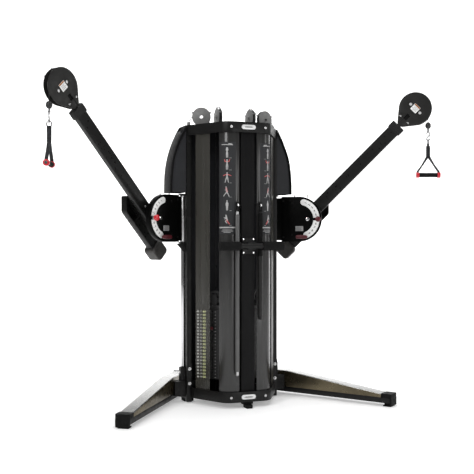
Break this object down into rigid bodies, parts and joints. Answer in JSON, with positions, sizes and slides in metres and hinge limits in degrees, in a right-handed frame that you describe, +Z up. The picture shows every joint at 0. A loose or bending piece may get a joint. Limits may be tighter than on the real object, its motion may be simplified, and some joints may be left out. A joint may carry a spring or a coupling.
{
  "type": "functional trainer",
  "caption": "Dual-arm cable functional trainer: enclosed tower with weight stacks, swinging and tilting pulley arms, splayed legs, pull handles and a grab bar.",
  "frame": {"origin": "on the floor, under the middle of the front foot, in the plane of symmetry", "axes": "+X to the right seen from the front, -Y towards the user, +Z up"},
  "size_m": [3.111, 1.0799, 2.4218],
  "materials": {
    "black_frame": "fine textured satin powder coat",
    "polished_cover": "polished",
    "black_rubber": "matte",
    "chrome": "bright",
    "smoked_shroud": "smoked, semi-gloss",
    "rear_shell": "fine grain satin",
    "stack_plate": "black enamel",
    "pulley_bracket": "grey paint",
    "pulley_wheel": "moulded nylon",
    "label": "printed film",
    "cable": "coated wire rope",
    "red_plastic": "moulded",
    "weight_cover": "grey hammered paint",
    "webbing": "woven nylon"
  },
  "bodies": {
    "frame": {"base_band": "black_frame", "top_band": "black_frame", "centre_pillar": "black_frame", "uprights": "black_frame", "crossbeam": "black_frame", "leg_rails": "black_frame", "leg_covers": "polished_cover", "feet_and_bumpers": "black_rubber", "swing_posts": "chrome", "front_shrouds": "smoked_shroud", "side_shrouds": "smoked_shroud", "rear_covers": "rear_shell", "guide_rods": "chrome", "resting_plates": "stack_plate", "grab_bar": "black_frame", "grab_grips": "black_rubber", "frame_bolts": "chrome", "top_brackets": "pulley_bracket", "label_plates": "label", "top_cables": "cable", "lift_cable_left": "cable", "lift_cable_right": "cable"},
    "long_bar": {"long_bar": "chrome"},
    "short_bar": {"short_bar": "chrome"},
    "stack_left": {"lifted_plates_left": "stack_plate", "stack_yoke_left": "black_frame"},
    "stack_wheel_left": {"stack_pulley_left": "pulley_wheel"},
    "outer_wheel_left": {"outer_pulley_left": "pulley_wheel"},
    "inner_wheel_left": {"inner_pulley_left": "pulley_wheel"},
    "pin_left": {"selector_pin_left": "chrome"},
    "carriage_left": {"pivot_plate_left": "black_frame"},
    "knob_left": {"pull_knob_left": "red_plastic"},
    "lever_left": {"swing_lever_left": "red_plastic"},
    "arm_left": {"arm_frame_left": "black_frame", "counterweight_left": "weight_cover"},
    "head_left": {"head_guard_left": "black_frame"},
    "head_wheel_left": {"head_pulley_left": "pulley_wheel"},
    "lead_left": {"pull_cable_left": "cable"},
    "stop_left": {"cable_stop_left": "black_rubber"},
    "hook_left": {"snap_hook_left": "chrome"},
    "strap_left": {"handle_strap_left": "webbing"},
    "grip_left": {"handle_grip_left": "black_rubber"},
    "stack_right": {"lifted_plates_right": "stack_plate", "stack_yoke_right": "black_frame"},
    "stack_wheel_right": {"stack_pulley_right": "pulley_wheel"},
    "outer_wheel_right": {"outer_pulley_right": "pulley_wheel"},
    "inner_wheel_right": {"inner_pulley_right": "pulley_wheel"},
    "pin_right": {"selector_pin_right": "chrome"},
    "carriage_right": {"pivot_plate_right": "black_frame"},
    "knob_right": {"pull_knob_right": "red_plastic"},
    "lever_right": {"swing_lever_right": "red_plastic"},
    "arm_right": {"arm_frame_right": "black_frame", "counterweight_right": "weight_cover"},
    "head_right": {"head_guard_right": "black_frame"},
    "head_wheel_right": {"head_pulley_right": "pulley_wheel"},
    "lead_right": {"pull_cable_right": "cable"},
    "stop_right": {"cable_stop_right": "black_rubber"},
    "hook_right": {"snap_hook_right": "chrome"},
    "strap_right": {"handle_strap_right": "webbing"},
    "grip_right": {"handle_grip_right": "black_rubber"}
  },
  "joints": [
    {"name": "lift_left", "type": "slide", "parent": "frame", "child": "stack_left", "axis": [0, 0, 1], "range_m": [0, 0.8], "deforming": ["lift_cable_left"]},
    {"name": "stack_pulley_turn_left", "type": "hinge", "parent": "stack_left", "child": "stack_wheel_left", "pos_m": [-0.17219, 0.25661, 0.811], "axis": [-0.6623, -0.7492, 0], "range_deg": [0, 990]},
    {"name": "outer_pulley_turn_left", "type": "hinge", "parent": "frame", "child": "outer_wheel_left", "pos_m": [-0.2625, 0.31, 2.196], "axis": [-0.3778, -0.9259, 0], "range_deg": [0, 1530]},
    {"name": "inner_pulley_turn_left", "type": "hinge", "parent": "frame", "child": "inner_wheel_left", "pos_m": [-0.1343, 0.2858, 2.196], "axis": [-0.9986, 0.0523, 0], "continuous": true},
    {"name": "selector_pin_pull_left", "type": "slide", "parent": "stack_left", "child": "pin_left", "axis": [-0.6623, -0.7492, 0], "range_m": [0, 0.054]},
    {"name": "arm_swing_left", "type": "hinge", "parent": "frame", "child": "carriage_left", "pos_m": [-0.382, 0.4, 1.415], "axis": [0, 0, 1], "range_deg": [-31, 35]},
    {"name": "knob_pull_left", "type": "slide", "parent": "carriage_left", "child": "knob_left", "axis": [0.515, -0.8572, 0], "range_m": [0, 0.012], "stiffness_N_per_m": 900},
    {"name": "swing_release_left", "type": "hinge", "parent": "carriage_left", "child": "lever_left", "pos_m": [-0.56456, 0.25531, 1.273], "axis": [0.515, -0.8572, 0], "range_deg": [0, 25], "stiffness_Nm_per_rad": 1.5},
    {"name": "arm_tilt_left", "type": "hinge", "parent": "carriage_left", "child": "arm_left", "pos_m": [-0.61454, 0.3851, 1.415], "axis": [-0.515, 0.8572, 0], "range_deg": [-86, 30]},
    {"name": "head_swivel_left", "type": "hinge", "parent": "arm_left", "child": "head_left", "pos_m": [-1.39885, -0.08615, 2.29181], "axis": [0.6061, 0.3642, -0.7071], "range_deg": [-90, 90]},
    {"name": "head_pulley_turn_left", "type": "hinge", "parent": "head_left", "child": "head_wheel_left", "pos_m": [-1.39885, -0.08615, 2.29181], "axis": [-0.515, 0.8572, 0], "range_deg": [0, 919]},
    {"name": "cable_lead_left", "type": "hinge", "parent": "head_left", "child": "lead_left", "pos_m": [-1.39885, -0.08615, 2.29181], "axis": [0.515, -0.8572, 0], "range_deg": [-86, 30]},
    {"name": "cable_pull_left", "type": "slide", "parent": "lead_left", "child": "stop_left", "axis": [0, 0, -1], "range_m": [0, 1.6], "deforming": ["pull_cable_left"]},
    {"name": "hook_twist_left", "type": "hinge", "parent": "stop_left", "child": "hook_left", "pos_m": [-1.48456, -0.13766, 2.12181], "axis": [0, 0, -1], "continuous": true},
    {"name": "handle_swing_left", "type": "hinge", "parent": "hook_left", "child": "strap_left", "pos_m": [-1.48456, -0.13766, 2.03831], "axis": [0.3584, 0.9336, 0], "range_deg": [-90, 90]},
    {"name": "grip_turn_left", "type": "hinge", "parent": "strap_left", "child": "grip_left", "pos_m": [-1.48456, -0.13766, 1.76381], "axis": [0.3584, 0.9336, 0], "continuous": true},
    {"name": "lift_right", "type": "slide", "parent": "frame", "child": "stack_right", "axis": [0, 0, 1], "range_m": [0, 0.8], "deforming": ["lift_cable_right"]},
    {"name": "stack_pulley_turn_right", "type": "hinge", "parent": "stack_right", "child": "stack_wheel_right", "pos_m": [0.17219, 0.25661, 0.811], "axis": [-0.6623, 0.7492, 0], "range_deg": [0, 990]},
    {"name": "outer_pulley_turn_right", "type": "hinge", "parent": "frame", "child": "outer_wheel_right", "pos_m": [0.2625, 0.31, 2.196], "axis": [-0.3778, 0.9259, 0], "range_deg": [0, 1530]},
    {"name": "inner_pulley_turn_right", "type": "hinge", "parent": "frame", "child": "inner_wheel_right", "pos_m": [0.1343, 0.2858, 2.196], "axis": [-0.9986, -0.0523, 0], "continuous": true},
    {"name": "selector_pin_pull_right", "type": "slide", "parent": "stack_right", "child": "pin_right", "axis": [0.6623, -0.7492, 0], "range_m": [0, 0.054]},
    {"name": "arm_swing_right", "type": "hinge", "parent": "frame", "child": "carriage_right", "pos_m": [0.382, 0.4, 1.415], "axis": [0, 0, -1], "range_deg": [-31, 35]},
    {"name": "knob_pull_right", "type": "slide", "parent": "carriage_right", "child": "knob_right", "axis": [-0.515, -0.8572, 0], "range_m": [0, 0.012], "stiffness_N_per_m": 900},
    {"name": "swing_release_right", "type": "hinge", "parent": "carriage_right", "child": "lever_right", "pos_m": [0.56456, 0.25531, 1.273], "axis": [0.515, 0.8572, 0], "range_deg": [0, 25], "stiffness_Nm_per_rad": 1.5},
    {"name": "arm_tilt_right", "type": "hinge", "parent": "carriage_right", "child": "arm_right", "pos_m": [0.61454, 0.3851, 1.415], "axis": [-0.515, -0.8572, 0], "range_deg": [-86, 30]},
    {"name": "head_swivel_right", "type": "hinge", "parent": "arm_right", "child": "head_right", "pos_m": [1.39885, -0.08615, 2.29181], "axis": [0.6061, -0.3642, 0.7071], "range_deg": [-90, 90]},
    {"name": "head_pulley_turn_right", "type": "hinge", "parent": "head_right", "child": "head_wheel_right", "pos_m": [1.39885, -0.08615, 2.29181], "axis": [-0.515, -0.8572, 0], "range_deg": [0, 919]},
    {"name": "cable_lead_right", "type": "hinge", "parent": "head_right", "child": "lead_right", "pos_m": [1.39885, -0.08615, 2.29181], "axis": [0.515, 0.8572, 0], "range_deg": [-86, 30]},
    {"name": "cable_pull_right", "type": "slide", "parent": "lead_right", "child": "stop_right", "axis": [0, 0, -1], "range_m": [0, 1.6], "deforming": ["pull_cable_right"]},
    {"name": "hook_twist_right", "type": "hinge", "parent": "stop_right", "child": "hook_right", "pos_m": [1.48456, -0.13766, 2.12181], "axis": [0, 0, 1], "continuous": true},
    {"name": "handle_swing_right", "type": "hinge", "parent": "hook_right", "child": "strap_right", "pos_m": [1.48456, -0.13766, 2.03831], "axis": [0.9336, -0.3584, 0], "range_deg": [-90, 90]},
    {"name": "grip_turn_right", "type": "hinge", "parent": "strap_right", "child": "grip_right", "pos_m": [1.48456, -0.13766, 1.76381], "axis": [0.9336, -0.3584, 0], "continuous": true},
    {"name": "long_bar_lift", "type": "slide", "parent": "frame", "child": "long_bar", "axis": [0, 0, 1], "range_m": [0, 0.03]},
    {"name": "short_bar_lift", "type": "slide", "parent": "frame", "child": "short_bar", "axis": [0, 0, 1], "range_m": [0, 0.03]}
  ],
  "couplings": [
    {"joint": "stack_pulley_turn_left", "follows": "lift_left", "rad_per_m": 21.558},
    {"joint": "outer_pulley_turn_left", "follows": "lift_left", "rad_per_m": 33.333},
    {"joint": "head_pulley_turn_left", "follows": "lift_left", "rad_per_m": 20},
    {"joint": "cable_pull_left", "follows": "lift_left", "ratio": 2},
    {"joint": "stack_pulley_turn_right", "follows": "lift_right", "rad_per_m": 21.558},
    {"joint": "outer_pulley_turn_right", "follows": "lift_right", "rad_per_m": 33.333},
    {"joint": "head_pulley_turn_right", "follows": "lift_right", "rad_per_m": 20},
    {"joint": "cable_pull_right", "follows": "lift_right", "ratio": 2}
  ]
}
